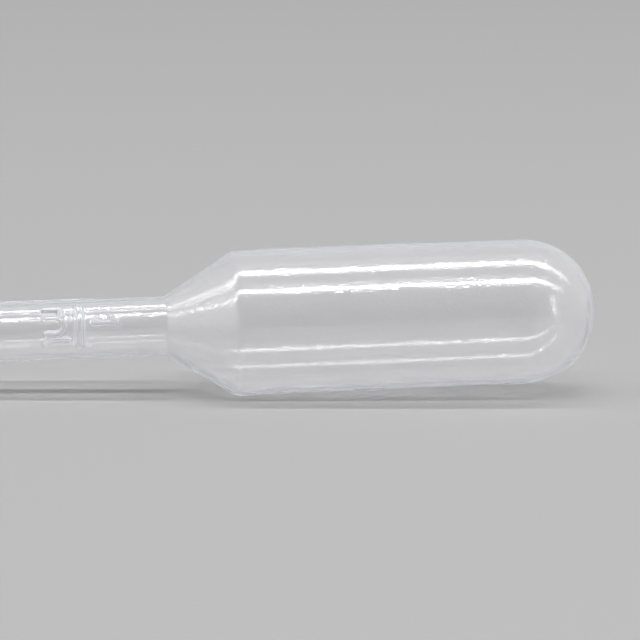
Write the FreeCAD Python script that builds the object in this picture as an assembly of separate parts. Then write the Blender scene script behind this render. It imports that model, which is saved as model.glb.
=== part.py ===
import FreeCAD, Part
import math
import os

from FreeCAD import Vector

# A transfer pipette: squeeze bulb, conical shoulder, graduated stem and drawn tip, blow-moulded in
# one piece from low-density polyethylene. Sizes are in millimetres, angles in degrees.

# Squeeze bulb
bulb_diameter = 12.5
bulb_length = 31.6              # from the shoulder's edge to the end of the dome
bulb_wall = 0.38
dome_length = 6.4               # the rounded end, part of bulb_length
dome_fullness = 0.58            # 0.55 gives an ellipse, more gives a squarer end
dome_end_wall = 0.60            # the wall is thickest where the mould pinches the tube shut

# Conical shoulder between the stem and the bulb
shoulder_length = 5.93
shoulder_edge_radius = 1.5      # where the cone meets the bulb
shoulder_root_radius = 0.75     # where the stem meets the cone

# Stem
stem_diameter = 5.1
stem_wall = 0.58

# Drawn tip: a long taper that ends in a short straight land, cut off square
tip_diameter = 2.5
tip_wall = 0.5
tip_land_length = 5.0
tip_taper_length = 33.0
tip_blend_radius = 60.0         # softens both ends of the taper

# Graduations: raised bars across the front of the stem, at equal steps of volume
graduated_volume = 1000.0       # cubic millimetres of liquid below the top bar
graduation_steps = 4
top_bar_to_shoulder = 7.55
bar_width = 0.95
bar_height = 0.13
bar_arc = 90.0
front_elevation = 18.5          # how far the graduated front is rolled up from the horizontal

polyethylene_density = 0.92e-3  # grams per cubic millimetre

bulb_radius = bulb_diameter / 2
stem_radius = stem_diameter / 2
tip_radius = tip_diameter / 2
bulb_bore_radius = bulb_radius - bulb_wall
stem_bore_radius = stem_radius - stem_wall
tip_bore_radius = tip_radius - tip_wall

# The bore's volume below a station on the axis, which starts at the orifice, sets where the
# graduations go and so how long the stem is.
taper_rate = (stem_bore_radius - tip_bore_radius) / tip_taper_length
land_volume = math.pi * tip_bore_radius**2 * tip_land_length
taper_volume = math.pi / (3 * taper_rate) * (stem_bore_radius**3 - tip_bore_radius**3)


def station_holding(volume):
    """The station on the axis below which the bore holds this volume."""
    if volume < land_volume:
        return volume / (math.pi * tip_bore_radius**2)
    above_land = volume - land_volume
    if above_land < taper_volume:
        bore_radius = (tip_bore_radius**3 + 3 * taper_rate * above_land / math.pi) ** (1 / 3)
        return tip_land_length + (bore_radius - tip_bore_radius) / taper_rate
    above_taper = above_land - taper_volume
    return tip_land_length + tip_taper_length + above_taper / (math.pi * stem_bore_radius**2)


taper_end = tip_land_length + tip_taper_length
shoulder_root = station_holding(graduated_volume) + top_bar_to_shoulder
shoulder_edge = shoulder_root + shoulder_length
dome_start = shoulder_edge + bulb_length - dome_length
overall_length = shoulder_edge + bulb_length
shoulder_angle = math.atan2(bulb_radius - stem_radius, shoulder_length)


ORIGIN = Vector(0, 0, 0)
AXIS = Vector(1, 0, 0)          # from the orifice to the end of the dome


def on_profile(station, radius):
    """A point of the lengthwise section, drawn in the mould's parting plane, above the axis."""
    return Vector(station, 0, radius)


def rounded_path(points, radii):
    """Straight edges through the points, with a tangent arc of the given radius at each corner."""
    edges = []
    start = points[0]
    for before, corner, after, radius in zip(points, points[1:], points[2:], radii):
        towards_before = (before - corner).normalize()
        towards_after = (after - corner).normalize()
        half_angle = towards_before.getAngle(towards_after) / 2
        setback = radius / math.tan(half_angle)
        arc_start = corner + towards_before * setback
        arc_end = corner + towards_after * setback
        towards_centre = (towards_before + towards_after).normalize()
        arc_middle = corner + towards_centre * (radius / math.sin(half_angle) - radius)
        edges.append(Part.LineSegment(start, arc_start).toShape())
        edges.append(Part.Arc(arc_start, arc_middle, arc_end).toShape())
        start = arc_end
    edges.append(Part.LineSegment(start, points[-1]).toShape())
    return edges


def dome_edge(radius, end):
    """The quarter curve from the bulb's straight side to the end of its dome."""
    length = end - dome_start
    curve = Part.BezierCurve()
    curve.setPoles([
        on_profile(dome_start, radius),
        on_profile(dome_start + dome_fullness * length, radius),
        on_profile(end, dome_fullness * radius),
        on_profile(end, 0),
    ])
    return curve.toShape()


def outer_edges():
    """The moulded outside, from the orifice to the end of the dome."""
    points = [
        on_profile(0, tip_radius),
        on_profile(tip_land_length, tip_radius),
        on_profile(taper_end, stem_radius),
        on_profile(shoulder_root, stem_radius),
        on_profile(shoulder_edge, bulb_radius),
        on_profile(dome_start, bulb_radius),
    ]
    radii = [tip_blend_radius, tip_blend_radius, shoulder_root_radius, shoulder_edge_radius]
    return rounded_path(points, radii) + [dome_edge(bulb_radius, overall_length)]


def bore_edges():
    """The inside, which follows the outside at the depth of the wall."""
    corner_shift = math.tan(shoulder_angle / 2)
    points = [
        on_profile(0, tip_bore_radius),
        on_profile(tip_land_length, tip_bore_radius),
        on_profile(taper_end, stem_bore_radius),
        on_profile(shoulder_root + stem_wall * corner_shift, stem_bore_radius),
        on_profile(shoulder_edge + bulb_wall * corner_shift, bulb_bore_radius),
        on_profile(dome_start, bulb_bore_radius),
    ]
    radii = [
        tip_blend_radius,
        tip_blend_radius,
        shoulder_root_radius + stem_wall,
        max(shoulder_edge_radius - bulb_wall, bulb_wall),
    ]
    return rounded_path(points, radii) + [dome_edge(bulb_bore_radius, overall_length - dome_end_wall)]


def moulded_wall():
    """The whole wall, revolved from its lengthwise section."""
    orifice_rim = Part.LineSegment(on_profile(0, tip_bore_radius), on_profile(0, tip_radius))
    dome_end = Part.LineSegment(
        on_profile(overall_length, 0),
        on_profile(overall_length - dome_end_wall, 0),
    )
    edges = [orifice_rim.toShape()] + outer_edges() + [dome_end.toShape()] + bore_edges()
    section = Part.Face(Part.Wire(Part.__sortEdges__(edges)))
    return section.revolve(ORIGIN, AXIS, 360)


def outer_radius(station):
    """The outside's radius at a station on the tip or the stem."""
    share_of_taper = (station - tip_land_length) / tip_taper_length
    share_of_taper = min(max(share_of_taper, 0), 1)
    return tip_radius + share_of_taper * (stem_radius - tip_radius)


def graduation_bar(station):
    """A low rounded rib across the front of the stem, rooted in the wall."""
    crest_radius = (bar_width**2 / 4 + bar_height**2) / (2 * bar_height)
    root_depth = min(stem_wall, tip_wall) / 3
    root_half_width = math.sqrt(crest_radius**2 - (crest_radius - bar_height - root_depth) ** 2)
    surface = outer_radius(station)
    low_root = on_profile(station - root_half_width, surface - root_depth)
    high_root = on_profile(station + root_half_width, surface - root_depth)
    section = Part.Face(Part.Wire([
        Part.Arc(low_root, on_profile(station, surface + bar_height), high_root).toShape(),
        Part.LineSegment(high_root, low_root).toShape(),
    ]))
    section.rotate(ORIGIN, AXIS, 90 - bar_arc / 2)
    return section.revolve(ORIGIN, AXIS, bar_arc)


def resting_tilt():
    """The axis's slope, in radians, when the shoulder's edge and the tip lie on a flat surface."""
    centre_station = shoulder_edge + shoulder_edge_radius * math.tan(shoulder_angle / 2)
    centre_drop = bulb_radius - shoulder_edge_radius - tip_radius
    span = math.hypot(centre_station, centre_drop)
    return math.atan2(centre_drop, centre_station) + math.asin(shoulder_edge_radius / span)


def pipette_body():
    """The pipette as it lies, its bulb towards +X and its graduations towards -Y.

    The origin is under the middle of its box, on the surface that it lies on.
    """
    stations = [
        station_holding(graduated_volume * step / graduation_steps)
        for step in range(1, graduation_steps + 1)
    ]
    body = moulded_wall().fuse([graduation_bar(station) for station in stations])
    body = body.removeSplitter().Solids[0]
    body.rotate(ORIGIN, AXIS, -front_elevation)
    tilt = resting_tilt()
    body.rotate(ORIGIN, Vector(0, 1, 0), -math.degrees(tilt))
    box = body.optimalBoundingBox(False, False)
    body.translate(Vector(-(box.XMin + box.XMax) / 2, 0, tip_radius * math.cos(tilt)))
    return body


os.makedirs("parts", exist_ok=True)
body = pipette_body()
body.exportStep("parts/pipette_body.step")
print(f"length {overall_length:.1f} mm, mass {body.Volume * polyethylene_density:.2f} g")
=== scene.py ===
import math

import bpy
from mathutils import Matrix, Vector


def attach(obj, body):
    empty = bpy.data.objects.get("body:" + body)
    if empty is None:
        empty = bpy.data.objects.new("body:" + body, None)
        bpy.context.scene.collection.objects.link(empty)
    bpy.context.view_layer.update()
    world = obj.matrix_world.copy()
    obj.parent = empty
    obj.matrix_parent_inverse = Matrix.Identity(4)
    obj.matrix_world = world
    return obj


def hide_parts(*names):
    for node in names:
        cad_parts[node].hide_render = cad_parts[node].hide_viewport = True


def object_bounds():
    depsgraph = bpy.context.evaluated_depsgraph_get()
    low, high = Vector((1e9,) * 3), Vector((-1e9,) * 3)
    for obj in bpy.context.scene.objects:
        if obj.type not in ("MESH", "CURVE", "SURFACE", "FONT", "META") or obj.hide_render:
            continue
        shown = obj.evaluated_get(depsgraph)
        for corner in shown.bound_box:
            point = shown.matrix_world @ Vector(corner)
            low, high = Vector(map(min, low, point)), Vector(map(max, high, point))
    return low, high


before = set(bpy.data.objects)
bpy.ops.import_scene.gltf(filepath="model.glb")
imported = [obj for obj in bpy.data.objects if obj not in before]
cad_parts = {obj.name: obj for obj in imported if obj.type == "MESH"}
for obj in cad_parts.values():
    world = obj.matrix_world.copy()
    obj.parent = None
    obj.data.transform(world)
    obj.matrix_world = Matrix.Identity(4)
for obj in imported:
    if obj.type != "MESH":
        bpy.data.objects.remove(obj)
cad_box = [list(corner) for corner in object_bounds()]


# Camera: a long lens low over the bench, on the graduated side and a little towards the tip, aimed
# at the squeeze bulb. The stem leaves the view on the left.

mm = 0.001
aim = Vector((49.77, 0.0, 6.50)) * mm
camera_distance = 500 * mm
camera_elevation = math.radians(10.0)
camera_turn = math.radians(6.7)
camera_roll = math.radians(1.25)

look = Vector((
    math.sin(camera_turn) * math.cos(camera_elevation),
    math.cos(camera_turn) * math.cos(camera_elevation),
    -math.sin(camera_elevation),
))
level_right = Vector((math.cos(camera_turn), -math.sin(camera_turn), 0.0))
level_up = level_right.cross(look)
camera_right = level_right * math.cos(camera_roll) + level_up * math.sin(camera_roll)
camera_up = level_up * math.cos(camera_roll) - level_right * math.sin(camera_roll)

camera_data = bpy.data.cameras.new("bench_camera")
camera_data.sensor_width = 36.0
camera_data.lens = 323.7
camera_data.clip_start = 0.01
camera = bpy.data.objects.new("bench_camera", camera_data)
bpy.context.scene.collection.objects.link(camera)
axes = Matrix((camera_right, camera_up, -look)).transposed().to_4x4()
camera.matrix_world = Matrix.Translation(aim - look * camera_distance) @ axes
bpy.context.scene.camera = camera


# Pipette: one hollow moulding in natural low-density polyethylene. A hot tube is blown out into a
# two-part steel mould, which leaves the raised graduations on the front, a parting line along both
# sides and a pinched seam across the end of the dome. The tip is drawn out and cut off square.

bulb_radius = 6.25 * mm
bulb_bore_radius = 5.87 * mm
bulb_length = 31.6 * mm
dome_length = 6.4 * mm
dome_fullness = 0.58
dome_end_wall = 0.45 * mm
shoulder_length = 5.93 * mm
stem_radius = 2.55 * mm
stem_bore_radius = 1.97 * mm
tip_radius = 1.25 * mm
tip_bore_radius = 0.75 * mm
tip_land = 5.0 * mm
taper_end = 38.0 * mm
bar_stations = [41.00 * mm, 61.50 * mm, 82.01 * mm, 102.51 * mm]   # a quarter of a millilitre apart
shoulder_root = 110.06 * mm
shoulder_edge = shoulder_root + shoulder_length
overall = shoulder_edge + bulb_length
dome_start = overall - dome_length

# Radii of the rounds where the wall turns; those of the bore follow the outside, one wall further in.
edge_round = 1.5 * mm
root_round = 0.75 * mm
bore_edge_round = 1.12 * mm
bore_root_round = 1.33 * mm
taper_round = 60 * mm
cut_round = 0.05 * mm


def rounded(corners, rounds, chord):
    """A line through the corners, each (station, radius), with an arc of chords at every inner one."""
    points = [Vector(corners[0])]
    for before, corner, after, radius in zip(corners, corners[1:], corners[2:], rounds):
        corner = Vector(corner)
        back = (Vector(before) - corner).normalized()
        ahead = (Vector(after) - corner).normalized()
        half = back.angle(ahead) / 2
        centre = corner + (back + ahead).normalized() * radius / math.sin(half)
        first = corner + back * radius / math.tan(half) - centre
        last = corner + ahead * radius / math.tan(half) - centre
        sweep = math.pi - 2 * half
        steps = max(3, math.ceil(radius * sweep / chord))
        for i in range(steps + 1):
            turn = sweep * i / steps
            points.append(centre + (first * math.sin(sweep - turn) + last * math.sin(turn)) / math.sin(sweep))
    return points + [Vector(corners[-1])]


def divided(points, step, zones=(), zone_step=None):
    """The line with points at most a step apart, and a zone step apart inside the zones of stations."""
    limits = sorted(limit for zone in zones for limit in zone)
    result = [points[0]]
    for start, end in zip(points, points[1:]):
        low, high = sorted((start.x, end.x))
        cuts = [(limit - start.x) / (end.x - start.x) for limit in limits if low < limit < high]
        shares = [0.0, *sorted(cuts), 1.0]
        for a, b in zip(shares, shares[1:]):
            middle = start.lerp(end, (a + b) / 2).x
            inside = any(zone[0] < middle < zone[1] for zone in zones)
            count = math.ceil((end - start).length * (b - a) / (zone_step if inside else step) - 1e-6)
            result += [start.lerp(end, a + (b - a) * i / count) for i in range(1, count + 1)]
    return result


def dome(end, radius, count):
    """Points along the dome's quarter curve, from its straight side to the pole on the axis."""
    reach = end - dome_start
    poles = ((dome_start, radius), (dome_start + dome_fullness * reach, radius),
             (end, dome_fullness * radius), (end, 0.0))
    points = []
    for i in range(1, count + 1):
        t = i / count
        shares = ((1 - t) ** 3, 3 * t * (1 - t) ** 2, 3 * t * t * (1 - t), t ** 3)
        points.append(Vector([sum(s * pole[k] for s, pole in zip(shares, poles)) for k in range(2)]))
    return points


# The lengthwise section runs from the dome's pole down the outside to the tip, round its cut end
# and back up the bore. It is closely divided where the marks stand.
half_shoulder = math.atan2(bulb_radius - stem_radius, shoulder_length) / 2
bore_root = shoulder_root + (stem_radius - stem_bore_radius) * math.tan(half_shoulder)
bore_edge = shoulder_edge + (bulb_radius - bulb_bore_radius) * math.tan(half_shoulder)
bar_reach = 0.7 * mm
figure_reach = 3.6 * mm
mark_zones = [(bar - bar_reach, bar + figure_reach) for bar in bar_stations[:-1]]
mark_zones.append((bar_stations[-1] - figure_reach, bar_stations[-1] + figure_reach))
outside = divided(rounded(
    [(dome_start, bulb_radius), (shoulder_edge, bulb_radius), (shoulder_root, stem_radius),
     (taper_end, stem_radius), (tip_land, tip_radius), (0.0, tip_radius), (0.0, tip_bore_radius)],
    [edge_round, root_round, taper_round, taper_round, cut_round], chord=0.12 * mm,
)[:-1], step=0.8 * mm, zones=mark_zones, zone_step=0.09 * mm)
bore = divided(rounded(
    [(0.0, tip_radius), (0.0, tip_bore_radius), (tip_land, tip_bore_radius), (taper_end, stem_bore_radius),
     (bore_root, stem_bore_radius), (bore_edge, bulb_bore_radius), (dome_start, bulb_bore_radius)],
    [cut_round, taper_round, taper_round, bore_root_round, bore_edge_round], chord=0.15 * mm,
)[1:], step=1.2 * mm)
outside = dome(overall, bulb_radius, count=40)[::-1] + outside
bore = bore + dome(overall - dome_end_wall, bulb_bore_radius, count=28)

section = bpy.data.meshes.new("lengthwise_section")
section.from_pydata([(p.x, 0.0, p.y) for p in outside + bore], [], [])
outside_marker = section.attributes.new("on_outside", "FLOAT", "POINT")
outside_marker.data.foreach_set("value", [1.0] * len(outside) + [0.0] * len(bore))

# Angles round the axis, from the graduated front: close where the marks and the parting line are.
front = math.radians(52)
front_step = math.radians(1.9)
side = math.radians(90)
near_side = math.radians(2.4)
angles = [p.x for p in divided(
    [Vector((-math.pi, 0)), Vector((math.pi, 0))], step=math.radians(4.5),
    zones=[(-side - near_side, -side + near_side), (side - near_side, side + near_side)],
    zone_step=math.radians(0.6),
)]
steps = math.ceil(2 * front / front_step)
front_angles = [front * (2 * i / steps - 1) for i in range(steps + 1)]
angles = sorted([a for a in angles if abs(a) > front] + front_angles)
round_axis = bpy.data.meshes.new("angles_round_axis")
round_axis.from_pydata([(a, 0.0, 0.0) for a in angles], [], [])


def drawn(name, lines):
    """An object of edges along the lines, each a list of (station, arc) places on the unrolled stem."""
    mesh = bpy.data.meshes.new(name)
    places = [(station, arc, 0.0) for line in lines for station, arc in line]
    edges, first = [], 0
    for line in lines:
        edges += [(first + i, first + i + 1) for i in range(len(line) - 1)]
        first += len(line)
    mesh.from_pydata(places, edges, [])
    made = bpy.data.objects.new(name, mesh)
    bpy.context.scene.collection.objects.link(made)
    return made


# Each figure is drawn as the middle lines of its strokes, in millimetres to the right and up.
figure_strokes = {
    "1": [[(-0.45, 1.55), (-0.12, 1.92), (0.0, 2.0), (0.0, 0.0)]],
    "2": [[(-0.45, 1.5), (-0.42, 1.72), (-0.28, 1.92), (0.0, 2.0), (0.28, 1.92), (0.43, 1.7), (0.43, 1.42),
           (0.3, 1.12), (-0.45, 0.0), (0.48, 0.0)]],
    "5": [[(0.42, 2.0), (-0.32, 2.0), (-0.4, 1.12), (-0.18, 1.24), (0.08, 1.25), (0.32, 1.08), (0.45, 0.78),
           (0.42, 0.4), (0.25, 0.1), (-0.02, 0.0), (-0.28, 0.06), (-0.46, 0.26)]],
    "7": [[(-0.46, 2.0), (0.46, 2.0), (0.22, 1.45), (0.02, 0.85), (-0.1, 0.0)]],
    ".": [[(0.0, 0.0), (0.0, 0.06)]],
    "m": [[(-1.5, 0.0), (-1.5, 1.08), (-1.42, 1.31), (-1.22, 1.42), (-0.93, 1.42), (-0.72, 1.3),
           (-0.64, 1.08), (-0.64, 0.0)],
          [(-0.64, 1.0), (-0.52, 1.33), (-0.25, 1.57), (0.08, 1.64), (0.4, 1.53), (0.63, 1.25),
           (0.71, 0.92), (0.71, 0.14)]],
    "l": [[(0.0, 2.05), (0.0, 0.48), (0.34, -0.06)]],
}
# The figures stand across the stem, with their tops towards the bulb: (text, right, up) of each, in
# millimetres. A number's foot is a little above its bar, and the unit's a whole line below.
number_foot = 1.14
unit_foot = -3.0
figure_step = 1.28
point_step = 0.86
point_shift = 0.14
half_step = 0.62
top_bar = bar_stations[-1] / mm
figures = [("1", -0.05, top_bar + number_foot),
           ("m", 0.0, top_bar + unit_foot), ("l", 1.24, top_bar + unit_foot)]
for bar, text in zip(bar_stations, (".25", ".5", ".75")):
    right = -(half_step * (len(text) - 1))
    for figure in text:
        figures.append((figure, right + (point_shift if figure == "." else 0.0), bar / mm + number_foot))
        right += point_step if figure == "." else figure_step
figure_lines = drawn("figure_lines", [
    [((up + y) * mm, -(right + x) * mm) for x, y in stroke]
    for figure, right, up in figures for stroke in figure_strokes[figure]
])
bar_arc = 1.72 * mm
bar_lines = drawn("bar_lines", [[(bar, -bar_arc), (bar, bar_arc)] for bar in bar_stations])

# Where the mould's halves let a little flash through, as runs of (side, from, to) in millimetres. The
# two sides are drawn well apart, so that a point finds only the runs of its own side.
flash_runs = [(1, 95.6, 103.6), (1, 118.5, 132.4), (-1, 115.4, 117.0), (-1, 139.6, 141.2), (1, 30.0, 41.5),
              (-1, 62.0, 71.0), (-1, 8.0, 19.0), (1, 76.0, 80.0), (-1, 127.0, 128.2)]
sides_apart = 10 * mm
flash_lines = drawn("flash_lines", [
    [(start * mm, way * sides_apart), (end * mm, way * sides_apart)] for way, start, end in flash_runs])


def add_node(tree, kind, inputs=None, output=0, **settings):
    """Adds a node with its settings, each input given a value or a socket to link; returns one output,
    or all of them for None."""
    made = tree.nodes.new(kind)
    for name, value in settings.items():
        setattr(made, name, value)
    for name, value in (inputs or {}).items():
        if isinstance(value, bpy.types.NodeSocket):
            tree.links.new(value, made.inputs[name])
        else:
            made.inputs[name].default_value = value
    return made.outputs if output is None else made.outputs[output]


# The wall: a lattice of section by angle, rolled up round the axis, closed, then raised at the marks,
# along the parting line and in slow waves where the blown wall cooled unevenly.
wall_tree = bpy.data.node_groups.new("moulded_wall", "GeometryNodeTree")
wall_tree.interface.new_socket("Geometry", in_out="OUTPUT", socket_type="NodeSocketGeometry")
wall_inputs = {}
for name, kind in {
    "Section": "Geometry", "Angles": "Object", "Bars": "Object", "Figures": "Object", "Flash": "Object",
    "Stem Radius": "Float", "Bar Half Width": "Float", "Bar Height": "Float", "Figure Half Width": "Float",
    "Figure Height": "Float", "Brow Width": "Float", "Flash Half Width": "Float",
    "Parting Line Height": "Float", "Flash Height": "Float", "Wave Length": "Float", "Wave Height": "Float",
    "Wave Seed": "Float", "Front Elevation": "Float", "Resting Tilt": "Float", "Orifice": "Vector",
    "Skin": "Material", "Bore Skin": "Material",
}.items():
    wall_inputs[name] = wall_tree.interface.new_socket(name, in_out="INPUT", socket_type="NodeSocket" + kind)
given = add_node(wall_tree, "NodeGroupInput", output=None)

# Each point of the lattice takes its station and radius from the section, and its angle from the list.
angle_points = add_node(wall_tree, "GeometryNodeObjectInfo", {"Object": given["Angles"]}, "Geometry")
section_count = add_node(wall_tree, "GeometryNodeAttributeDomainSize", {"Geometry": given["Section"]})
angle_count = add_node(wall_tree, "GeometryNodeAttributeDomainSize", {"Geometry": angle_points})
wall = add_node(wall_tree, "GeometryNodeMeshGrid", {"Vertices X": section_count, "Vertices Y": angle_count})
index = add_node(wall_tree, "GeometryNodeInputIndex")
section_index = add_node(
    wall_tree, "FunctionNodeIntegerMath", {0: index, 1: angle_count}, operation="DIVIDE_FLOOR")
angle_index = add_node(
    wall_tree, "FunctionNodeIntegerMath", {0: index, 1: angle_count}, operation="FLOORED_MODULO")
position = add_node(wall_tree, "GeometryNodeInputPosition")
station, angle, on_outside = [
    add_node(wall_tree, "GeometryNodeInputNamedAttribute", {"Name": name}, data_type="FLOAT")
    for name in ("station", "angle", "on_outside")]
section_point = add_node(wall_tree, "GeometryNodeSampleIndex", {
    "Geometry": given["Section"], "Value": position, "Index": section_index}, data_type="FLOAT_VECTOR")
section_place = add_node(wall_tree, "ShaderNodeSeparateXYZ", {0: section_point}, None)
outside_here = add_node(wall_tree, "GeometryNodeSampleIndex", {
    "Geometry": given["Section"], "Value": on_outside, "Index": section_index})
angle_point = add_node(wall_tree, "GeometryNodeSampleIndex", {
    "Geometry": angle_points, "Value": position, "Index": angle_index}, data_type="FLOAT_VECTOR")
angle_here = add_node(wall_tree, "ShaderNodeSeparateXYZ", {0: angle_point}, "X")
for name, value in (("station", section_place["X"]), ("angle", angle_here), ("on_outside", outside_here)):
    wall = add_node(wall_tree, "GeometryNodeStoreNamedAttribute", {
        "Geometry": wall, "Name": name, "Value": value}, data_type="FLOAT", domain="POINT")

# Rolled up and closed: the points that meet at the pole and along the lattice's long sides become one.
same_point = 0.001 * mm
cosine = add_node(wall_tree, "ShaderNodeMath", {0: angle_here}, operation="COSINE")
sine = add_node(wall_tree, "ShaderNodeMath", {0: angle_here}, operation="SINE")
frontward = add_node(wall_tree, "ShaderNodeMath", {0: section_place["Z"], 1: cosine}, operation="MULTIPLY")
backward = add_node(wall_tree, "ShaderNodeMath", {0: frontward, 1: -1.0}, operation="MULTIPLY")
upward = add_node(wall_tree, "ShaderNodeMath", {0: section_place["Z"], 1: sine}, operation="MULTIPLY")
rolled = add_node(wall_tree, "ShaderNodeCombineXYZ", {"X": section_place["X"], "Y": backward, "Z": upward})
wall = add_node(wall_tree, "GeometryNodeSetPosition", {"Geometry": wall, "Position": rolled})
wall = add_node(wall_tree, "GeometryNodeMergeByDistance", {"Geometry": wall, "Distance": same_point})
wall = add_node(wall_tree, "GeometryNodeFlipFaces", {"Mesh": wall})


def ridge(distance, half_width, height, flat=0.0):
    """A smooth ridge across the distance from its middle line, level over the flat share of its width."""
    level = add_node(wall_tree, "ShaderNodeMath", {0: half_width, 1: flat}, operation="MULTIPLY")
    return add_node(wall_tree, "ShaderNodeMapRange", {
        "Value": distance, "From Min": level, "From Max": half_width, "To Min": height, "To Max": 0.0,
    }, interpolation_type="SMOOTHSTEP")


def distance_to(lines, place):
    """How far a place lies from the nearest of an object's edges."""
    edges = add_node(wall_tree, "GeometryNodeObjectInfo", {"Object": lines}, "Geometry")
    return add_node(wall_tree, "GeometryNodeProximity", {
        "Geometry": edges, "Sample Position": place}, "Distance", target_element="EDGES")


# The bars and figures are level over the middle of their width. Along their brows the haze is raised to paint
# the bright outlines that light draws on such marks: a painted highlight. The brow's place is a share of the
# half width.
mark_level = 0.4
bar_brow = 0.35
figure_brow = 0.62
arc = add_node(wall_tree, "ShaderNodeMath", {0: angle, 1: given["Stem Radius"]}, operation="MULTIPLY")
unrolled = add_node(wall_tree, "ShaderNodeCombineXYZ", {"X": station, "Y": arc})
ridges, brows = [], []
for kind, brow_share in (("Bar", bar_brow), ("Figure", figure_brow)):
    half_width = given[kind + " Half Width"]
    away = distance_to(given[kind + "s"], unrolled)
    ridges.append(ridge(away, half_width, given[kind + " Height"], mark_level))
    brow_line = add_node(wall_tree, "ShaderNodeMath", {0: half_width, 1: brow_share}, operation="MULTIPLY")
    past_brow = add_node(wall_tree, "ShaderNodeMath", {0: away, 1: brow_line}, operation="SUBTRACT")
    brows.append(add_node(wall_tree, "ShaderNodeMath", {0: past_brow}, operation="ABSOLUTE"))
marks = add_node(wall_tree, "ShaderNodeMath", dict(enumerate(ridges)), operation="MAXIMUM")
nearest_brow = add_node(wall_tree, "ShaderNodeMath", dict(enumerate(brows)), operation="MINIMUM")
# The brow band stored here carries the painted highlight that outlines each mark.
wall = add_node(wall_tree, "GeometryNodeStoreNamedAttribute", {
    "Geometry": wall, "Name": "frosting", "Value": ridge(nearest_brow, given["Brow Width"], 1.0),
}, data_type="FLOAT", domain="POINT")

# The parting line stands up more where there is flash, and the flash fades out over its ends.
flash_fade = 0.4 * mm
place = add_node(wall_tree, "ShaderNodeSeparateXYZ", {0: position}, None)
way = add_node(wall_tree, "ShaderNodeMath", {0: place["Z"]}, operation="SIGN")
own_side = add_node(wall_tree, "ShaderNodeMath", {0: way, 1: sides_apart}, operation="MULTIPLY")
beside = add_node(wall_tree, "ShaderNodeCombineXYZ", {"X": station, "Y": own_side})
flash = ridge(distance_to(given["Flash"], beside), flash_fade, given["Flash Height"])
seam_height = add_node(
    wall_tree, "ShaderNodeMath", {0: flash, 1: given["Parting Line Height"]}, operation="ADD")
from_seam = add_node(wall_tree, "ShaderNodeMath", {0: place["Y"]}, operation="ABSOLUTE")
seam = ridge(from_seam, given["Flash Half Width"], seam_height)
raised = add_node(wall_tree, "ShaderNodeMath", {0: marks, 1: seam}, operation="ADD")
raised = add_node(wall_tree, "ShaderNodeMath", {0: raised, 1: on_outside}, operation="MULTIPLY")

# The slow waves differ inside and out, so the wall's thickness wanders with them.
seed = add_node(wall_tree, "ShaderNodeMath", {0: given["Wave Seed"], 1: on_outside}, operation="ADD")
wave_scale = add_node(wall_tree, "ShaderNodeMath", {0: 1.0, 1: given["Wave Length"]}, operation="DIVIDE")
wave = add_node(wall_tree, "ShaderNodeTexNoise", {
    "Vector": position, "W": seed, "Scale": wave_scale, "Detail": 1.0}, noise_dimensions="4D")
wave = add_node(wall_tree, "ShaderNodeMath", {0: wave, 1: 0.5}, operation="SUBTRACT")
wave = add_node(wall_tree, "ShaderNodeMath", {0: wave, 1: given["Wave Height"]}, operation="MULTIPLY")
raised = add_node(wall_tree, "ShaderNodeMath", {0: raised, 1: wave}, operation="ADD")
normal = add_node(wall_tree, "GeometryNodeInputNormal")
offset = add_node(wall_tree, "ShaderNodeVectorMath", {0: normal, "Scale": raised}, operation="SCALE")
wall = add_node(wall_tree, "GeometryNodeSetPosition", {"Geometry": wall, "Offset": offset})

# Laid down to rest on the shoulder's edge and the tip, with the graduated side rolled up to the front.
roll = add_node(wall_tree, "ShaderNodeMath", {0: given["Front Elevation"], 1: -1.0}, operation="MULTIPLY")
lift = add_node(wall_tree, "ShaderNodeMath", {0: given["Resting Tilt"], 1: -1.0}, operation="MULTIPLY")
turned = add_node(wall_tree, "ShaderNodeCombineXYZ", {"X": roll, "Y": lift})
wall = add_node(wall_tree, "GeometryNodeTransform", {
    "Geometry": wall, "Translation": given["Orifice"], "Rotation": turned})
wall = add_node(wall_tree, "GeometryNodeSetShadeSmooth", {"Geometry": wall})
wall = add_node(wall_tree, "GeometryNodeRealizeInstances", {"Geometry": wall})
wall = add_node(wall_tree, "GeometryNodeSetMaterial", {"Geometry": wall, "Material": given["Skin"]})
within = add_node(wall_tree, "FunctionNodeCompare", {"A": on_outside, "B": 0.5}, operation="LESS_THAN")
wall = add_node(wall_tree, "GeometryNodeSetMaterial", {
    "Geometry": wall, "Selection": within, "Material": given["Bore Skin"]})
add_node(wall_tree, "NodeGroupOutput", {0: wall}, None)


def linear(hex_colour):
    """An sRGB hex colour as linear red, green, blue and alpha."""
    channels = [int(hex_colour[i:i + 2], 16) / 255 for i in (1, 3, 5)]
    return [c / 12.92 if c <= 0.04045 else ((c + 0.055) / 1.055) ** 2.4 for c in channels] + [1.0]


# Natural low-density polyethylene, blow-moulded: crystals too small to see scatter a cool white haze
# in a nearly clear plastic. The steel's blasted grain breaks the gloss into beads. That grain is finer
# than 0.1 mm, and is drawn with cells of 0.22 mm, as coarse as it needs to be to show.
clear_colour = "#FFFEFD"
haze_colour = "#F7F8FF"
refraction = 1.51
face_roughness = 0.05
grain_cell = 0.22 * mm
haze_slants = (0.6, 0.92)       # slants at which the haze starts to thicken, and is thickest
behind_slants = (0.35, 0.95)    # slants at which light from behind starts to grow, and is strongest
# A painted highlight: the haze put on a mark's brow draws its bright outline.
painted_outline_share = 0.85           # haze on the brow of a mark
seen_through_pass = 0.78        # share of a lamp's light that a face lets on to what lies behind others


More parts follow.
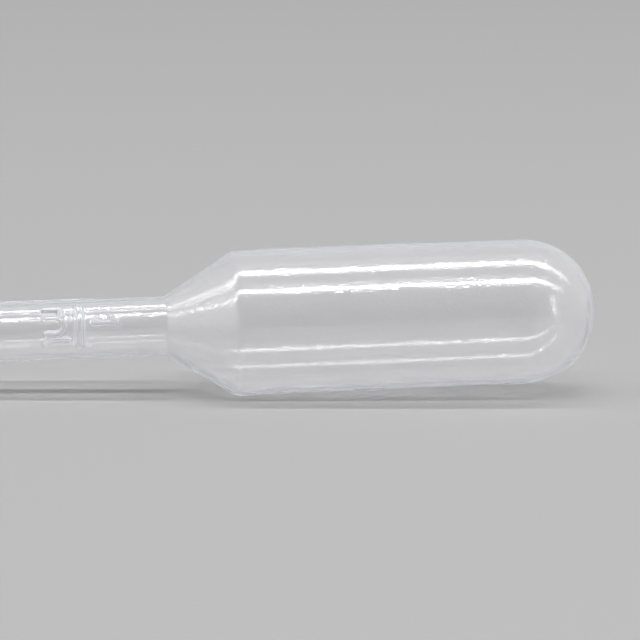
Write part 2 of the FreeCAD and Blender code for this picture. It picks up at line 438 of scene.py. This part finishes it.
def natural_ldpe(name, haze, behind, roughness, gloss, coat_ior, coat_grain, line_grain,
                 entry_pass, inner_pass):
    """Clear plastic with a milky haze, under a grained, glossy face. The haze, and its share that is lit
    from behind, are each given as seen square on and at a slant."""
    made = bpy.data.materials.new(name)
    made.use_nodes = True
    tree = made.node_tree
    clear = tree.nodes["Principled BSDF"]
    for socket, value in {
        "Base Color": linear(clear_colour), "Roughness": roughness, "IOR": refraction,
        "Specular IOR Level": gloss, "Transmission Weight": 1.0, "Coat Weight": 1.0,
        "Coat Roughness": face_roughness, "Coat IOR": coat_ior,
    }.items():
        clear.inputs[socket].default_value = value
    place = add_node(tree, "ShaderNodeTexCoord", output="Object")
    grain = add_node(tree, "ShaderNodeTexNoise", {"Vector": place, "Scale": 1 / grain_cell, "Detail": 0.0})
    coarse = add_node(tree, "ShaderNodeBump", {"Distance": coat_grain, "Height": grain})
    faint = add_node(tree, "ShaderNodeBump", {"Distance": line_grain, "Height": grain})
    tree.links.new(faint, clear.inputs["Normal"])
    tree.links.new(coarse, clear.inputs["Coat Normal"])
    # Seen at a slant, the haze is thicker, and shows more of the light that comes from behind.
    lit = {"Color": linear(haze_colour), "Normal": coarse}
    lit_in_front = add_node(tree, "ShaderNodeBsdfDiffuse", lit)
    lit_behind = add_node(tree, "ShaderNodeBsdfTranslucent", lit)
    slant = add_node(tree, "ShaderNodeLayerWeight", {"Blend": 0.5}, "Facing")
    behind_share = add_node(tree, "ShaderNodeMapRange", {
        "Value": slant, "From Min": behind_slants[0], "From Max": behind_slants[1],
        "To Min": behind[0], "To Max": behind[1]})
    milk = add_node(tree, "ShaderNodeMixShader", {0: behind_share, 1: lit_in_front, 2: lit_behind})
    milkiness = add_node(tree, "ShaderNodeMapRange", {
        "Value": slant, "From Min": haze_slants[0], "From Max": haze_slants[1],
        "To Min": haze[0], "To Max": haze[1]})
    # Painted highlight: along the marks' brows the haze is raised, so that their outlines show light.
    frosting = add_node(tree, "ShaderNodeAttribute", output="Fac", attribute_name="frosting")
    frosting = add_node(tree, "ShaderNodeMath", {0: frosting, 1: painted_outline_share}, operation="MULTIPLY")
    milkiness = add_node(tree, "ShaderNodeMath", {0: milkiness, 1: frosting}, operation="MAXIMUM")
    wall = add_node(tree, "ShaderNodeMixShader", {0: milkiness, 1: clear.outputs["BSDF"], 2: milk})
    # A lamp's light passes the thin wall, a little dimmer at every face, and lights the haze inside.
    # Where it enters the skin most of it is scattered, so the pipette still casts a grey shadow.
    ray = add_node(tree, "ShaderNodeLightPath", output=None)
    entering = add_node(tree, "ShaderNodeMapRange", {
        "Value": ray["Transmission Depth"], "To Min": entry_pass, "To Max": seen_through_pass})
    leaving = add_node(tree, "ShaderNodeMapRange", {
        "Value": ray["Transmission Depth"], "To Min": inner_pass, "To Max": seen_through_pass})
    back_of_face = add_node(tree, "ShaderNodeNewGeometry", output="Backfacing")
    passed = add_node(tree, "ShaderNodeMapRange", {
        "Value": back_of_face, "To Min": entering, "To Max": leaving})
    through = add_node(tree, "ShaderNodeBsdfTransparent", {"Color": passed})
    shown = add_node(tree, "ShaderNodeMixShader", {0: ray["Is Shadow Ray"], 1: wall, 2: through})
    tree.links.new(shown, tree.nodes["Material Output"].inputs["Surface"])
    return made


# The outer skin carries the grain of the mould and most of the milkiness. The bore was blown free of
# the steel, and is smoother and clearer.
outer_skin = natural_ldpe(
    "natural_ldpe_moulded_skin", haze=(0.33, 1.0), behind=(0.30, 0.50), roughness=0.05, gloss=0.3,
    coat_ior=1.8, coat_grain=0.022 * mm, line_grain=0.003 * mm, entry_pass=0.02, inner_pass=0.82)
bore_skin = natural_ldpe(
    "natural_ldpe_blown_bore", haze=(0.0, 0.22), behind=(0.5, 0.5), roughness=0.10, gloss=0.5,
    coat_ior=2.2, coat_grain=0.008 * mm, line_grain=0.004 * mm, entry_pass=0.80, inner_pass=0.80)

lattice_object = bpy.data.objects.new("lattice", section)
angle_object = bpy.data.objects.new("angles", round_axis)
for made in (lattice_object, angle_object):
    bpy.context.scene.collection.objects.link(made)
modifier = lattice_object.modifiers.new("moulded_wall", "NODES")
modifier.node_group = wall_tree
tilt = math.radians(2.4598)
for name, value in {
    "Angles": angle_object, "Bars": bar_lines, "Figures": figure_lines, "Flash": flash_lines,
    "Stem Radius": stem_radius, "Bar Half Width": 0.52 * mm, "Bar Height": 0.20 * mm,
    "Figure Half Width": 0.32 * mm, "Figure Height": 0.24 * mm, "Brow Width": 0.10 * mm,
    "Flash Half Width": 0.16 * mm, "Parting Line Height": 0.02 * mm, "Flash Height": 0.13 * mm,
    "Wave Length": 5.0 * mm, "Wave Height": 0.015 * mm, "Wave Seed": 7.0,
    "Front Elevation": math.radians(18.5), "Resting Tilt": tilt,
    "Orifice": (cad_box[0][0] + tip_radius * math.sin(tilt), 0.0, tip_radius * math.cos(tilt)),
    "Skin": outer_skin, "Bore Skin": bore_skin,
}.items():
    modifier[wall_inputs[name].identifier] = value
evaluated = lattice_object.evaluated_get(bpy.context.evaluated_depsgraph_get())
wall_mesh = bpy.data.meshes.new_from_object(evaluated)
wall_mesh.name = "pipette_wall"
pipette = bpy.data.objects.new("pipette_wall", wall_mesh)
bpy.context.scene.collection.objects.link(pipette)
# The lattice goes, and its modifier with it.
for helper in (lattice_object, angle_object, bar_lines, figure_lines, flash_lines):
    bpy.data.objects.remove(helper)
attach(pipette, "root")
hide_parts("pipette_body")


# Bench: a plain, pale grey sheet of matt paper, laid flat under the pipette and wide enough to fill
# every view. It takes the soft shadow.

bench_half = 4.0
bench_corners = [(x * bench_half, y * bench_half, 0.0) for x, y in ((-1, -1), (1, -1), (1, 1), (-1, 1))]
bench_paper = bpy.data.materials.new("matt_grey_paper")
bench_paper.use_nodes = True
bench_surface = bench_paper.node_tree.nodes["Principled BSDF"]
bench_surface.inputs["Base Color"].default_value = linear("#B6B6B6")
bench_surface.inputs["Roughness"].default_value = 0.9
bench_surface.inputs["Specular IOR Level"].default_value = 0.2
bench_mesh = bpy.data.meshes.new("bench")
bench_mesh.from_pydata(bench_corners, [], [(0, 1, 2, 3)])
bench_mesh.materials.append(bench_paper)
bench = bpy.data.objects.new("bench", bench_mesh)
bpy.context.scene.collection.objects.link(bench)


# Light: two long strip lights run along the pipette under a pale ceiling, one a little behind it and
# one in front. A bright window edge stands to the right, and the room is soft and pale all round.

along_pipette = Vector((1.0, 0.0, 0.0))
upright = Vector((0.0, 0.0, 1.0))
lit_height = 0.01


def strip_light(name, place, along, length, width, radiance):
    """A flat lamp with its middle at the place and its length along a line, turned towards the bulb."""
    data = bpy.data.lights.new(name, "AREA")
    data.shape = "RECTANGLE"
    data.size = length
    data.size_y = width
    data.energy = radiance * length * width * math.pi
    lamp = bpy.data.objects.new(name, data)
    away = place - Vector((place.x * along.x, 0.0, lit_height))
    away = (away - along * away.dot(along)).normalized()
    turn = Matrix((along, away.cross(along), away)).transposed().to_4x4()
    lamp.matrix_world = Matrix.Translation(place) @ turn
    bpy.context.scene.collection.objects.link(lamp)
    return lamp


# Each ceiling strip, a metre off, is three lamps in a row, each (name, from, to, radiance) along the
# pipette. The middle one is the brightest.
strip_width = 0.06
strip_parts = (("left", -2.4, -0.2, 8.0), ("middle", -0.2, 0.65, 18.0), ("right", 0.65, 1.5, 6.0))
for name, elevation in (("overhead", math.radians(96)), ("front", math.radians(61))):
    for part, start, end, radiance in strip_parts:
        place = Vector(((start + end) / 2, -math.cos(elevation), math.sin(elevation)))
        strip_light(f"{name}_strip_{part}", place, along_pipette, end - start, strip_width, radiance)
# The pale ceiling throws the strips' light down once more, too soft to be seen as a shape in gloss.
ceiling = strip_light("ceiling_bounce", Vector((0.1, -0.17, 0.98)), along_pipette,
                      length=1.2, width=1.0, radiance=0.42)
ceiling.visible_glossy = False
ceiling.visible_transmission = False
strip_light("window_edge", Vector((1.07, -0.98, 0.41)), upright, length=0.75, width=0.07, radiance=5.0)

room = bpy.data.worlds.new("pale_room")
room.use_nodes = True
room_tree = room.node_tree
room_background = room_tree.nodes["Background"]
room_background.inputs["Color"].default_value = linear("#FFFFFF")
# The room is dimmer in front, where the camera stands, and brightest to the sides: each side adds
# strength over a range of directions, as (from, to, most added).
from_middle = add_node(room_tree, "ShaderNodeTexCoord", output="Generated")
way = add_node(room_tree, "ShaderNodeSeparateXYZ", {0: from_middle}, None)
strength = add_node(room_tree, "ShaderNodeMapRange", {
    "Value": way["Y"], "From Min": -0.9, "From Max": 0.3, "To Min": 0.28, "To Max": 0.58})
side_glows = ((0.4, 1.0, 0.2), (-0.4, -1.0, 0.7))
for start, end, most in side_glows:
    side_strength = add_node(room_tree, "ShaderNodeMapRange", {
        "Value": way["X"], "From Min": start, "From Max": end, "To Min": 0.0, "To Max": most})
    strength = add_node(room_tree, "ShaderNodeMath", {0: strength, 1: side_strength}, operation="ADD")
# What it throws on dull surfaces is softer, except from the right, where the window is.
ray = add_node(room_tree, "ShaderNodeLightPath", output=None)
on_dull = add_node(room_tree, "ShaderNodeMapRange", {
    "Value": way["X"], "From Min": 0.4, "From Max": 1.0, "To Min": 0.28, "To Max": 2.0})
share = add_node(room_tree, "ShaderNodeMapRange", {
    "Value": ray["Is Diffuse Ray"], "To Min": 1.0, "To Max": on_dull})
strength = add_node(room_tree, "ShaderNodeMath", {0: strength, 1: share}, operation="MULTIPLY")
room_tree.links.new(strength, room_background.inputs["Strength"])
bpy.context.scene.world = room
bpy.context.scene.view_settings.view_transform = "Standard"
# Light goes round inside a clear wall many times before it leaves.
bpy.context.scene.cycles.max_bounces = 24
bpy.context.scene.cycles.transmission_bounces = 24
bpy.context.scene.cycles.glossy_bounces = 20
bpy.context.scene.cycles.caustics_reflective = False
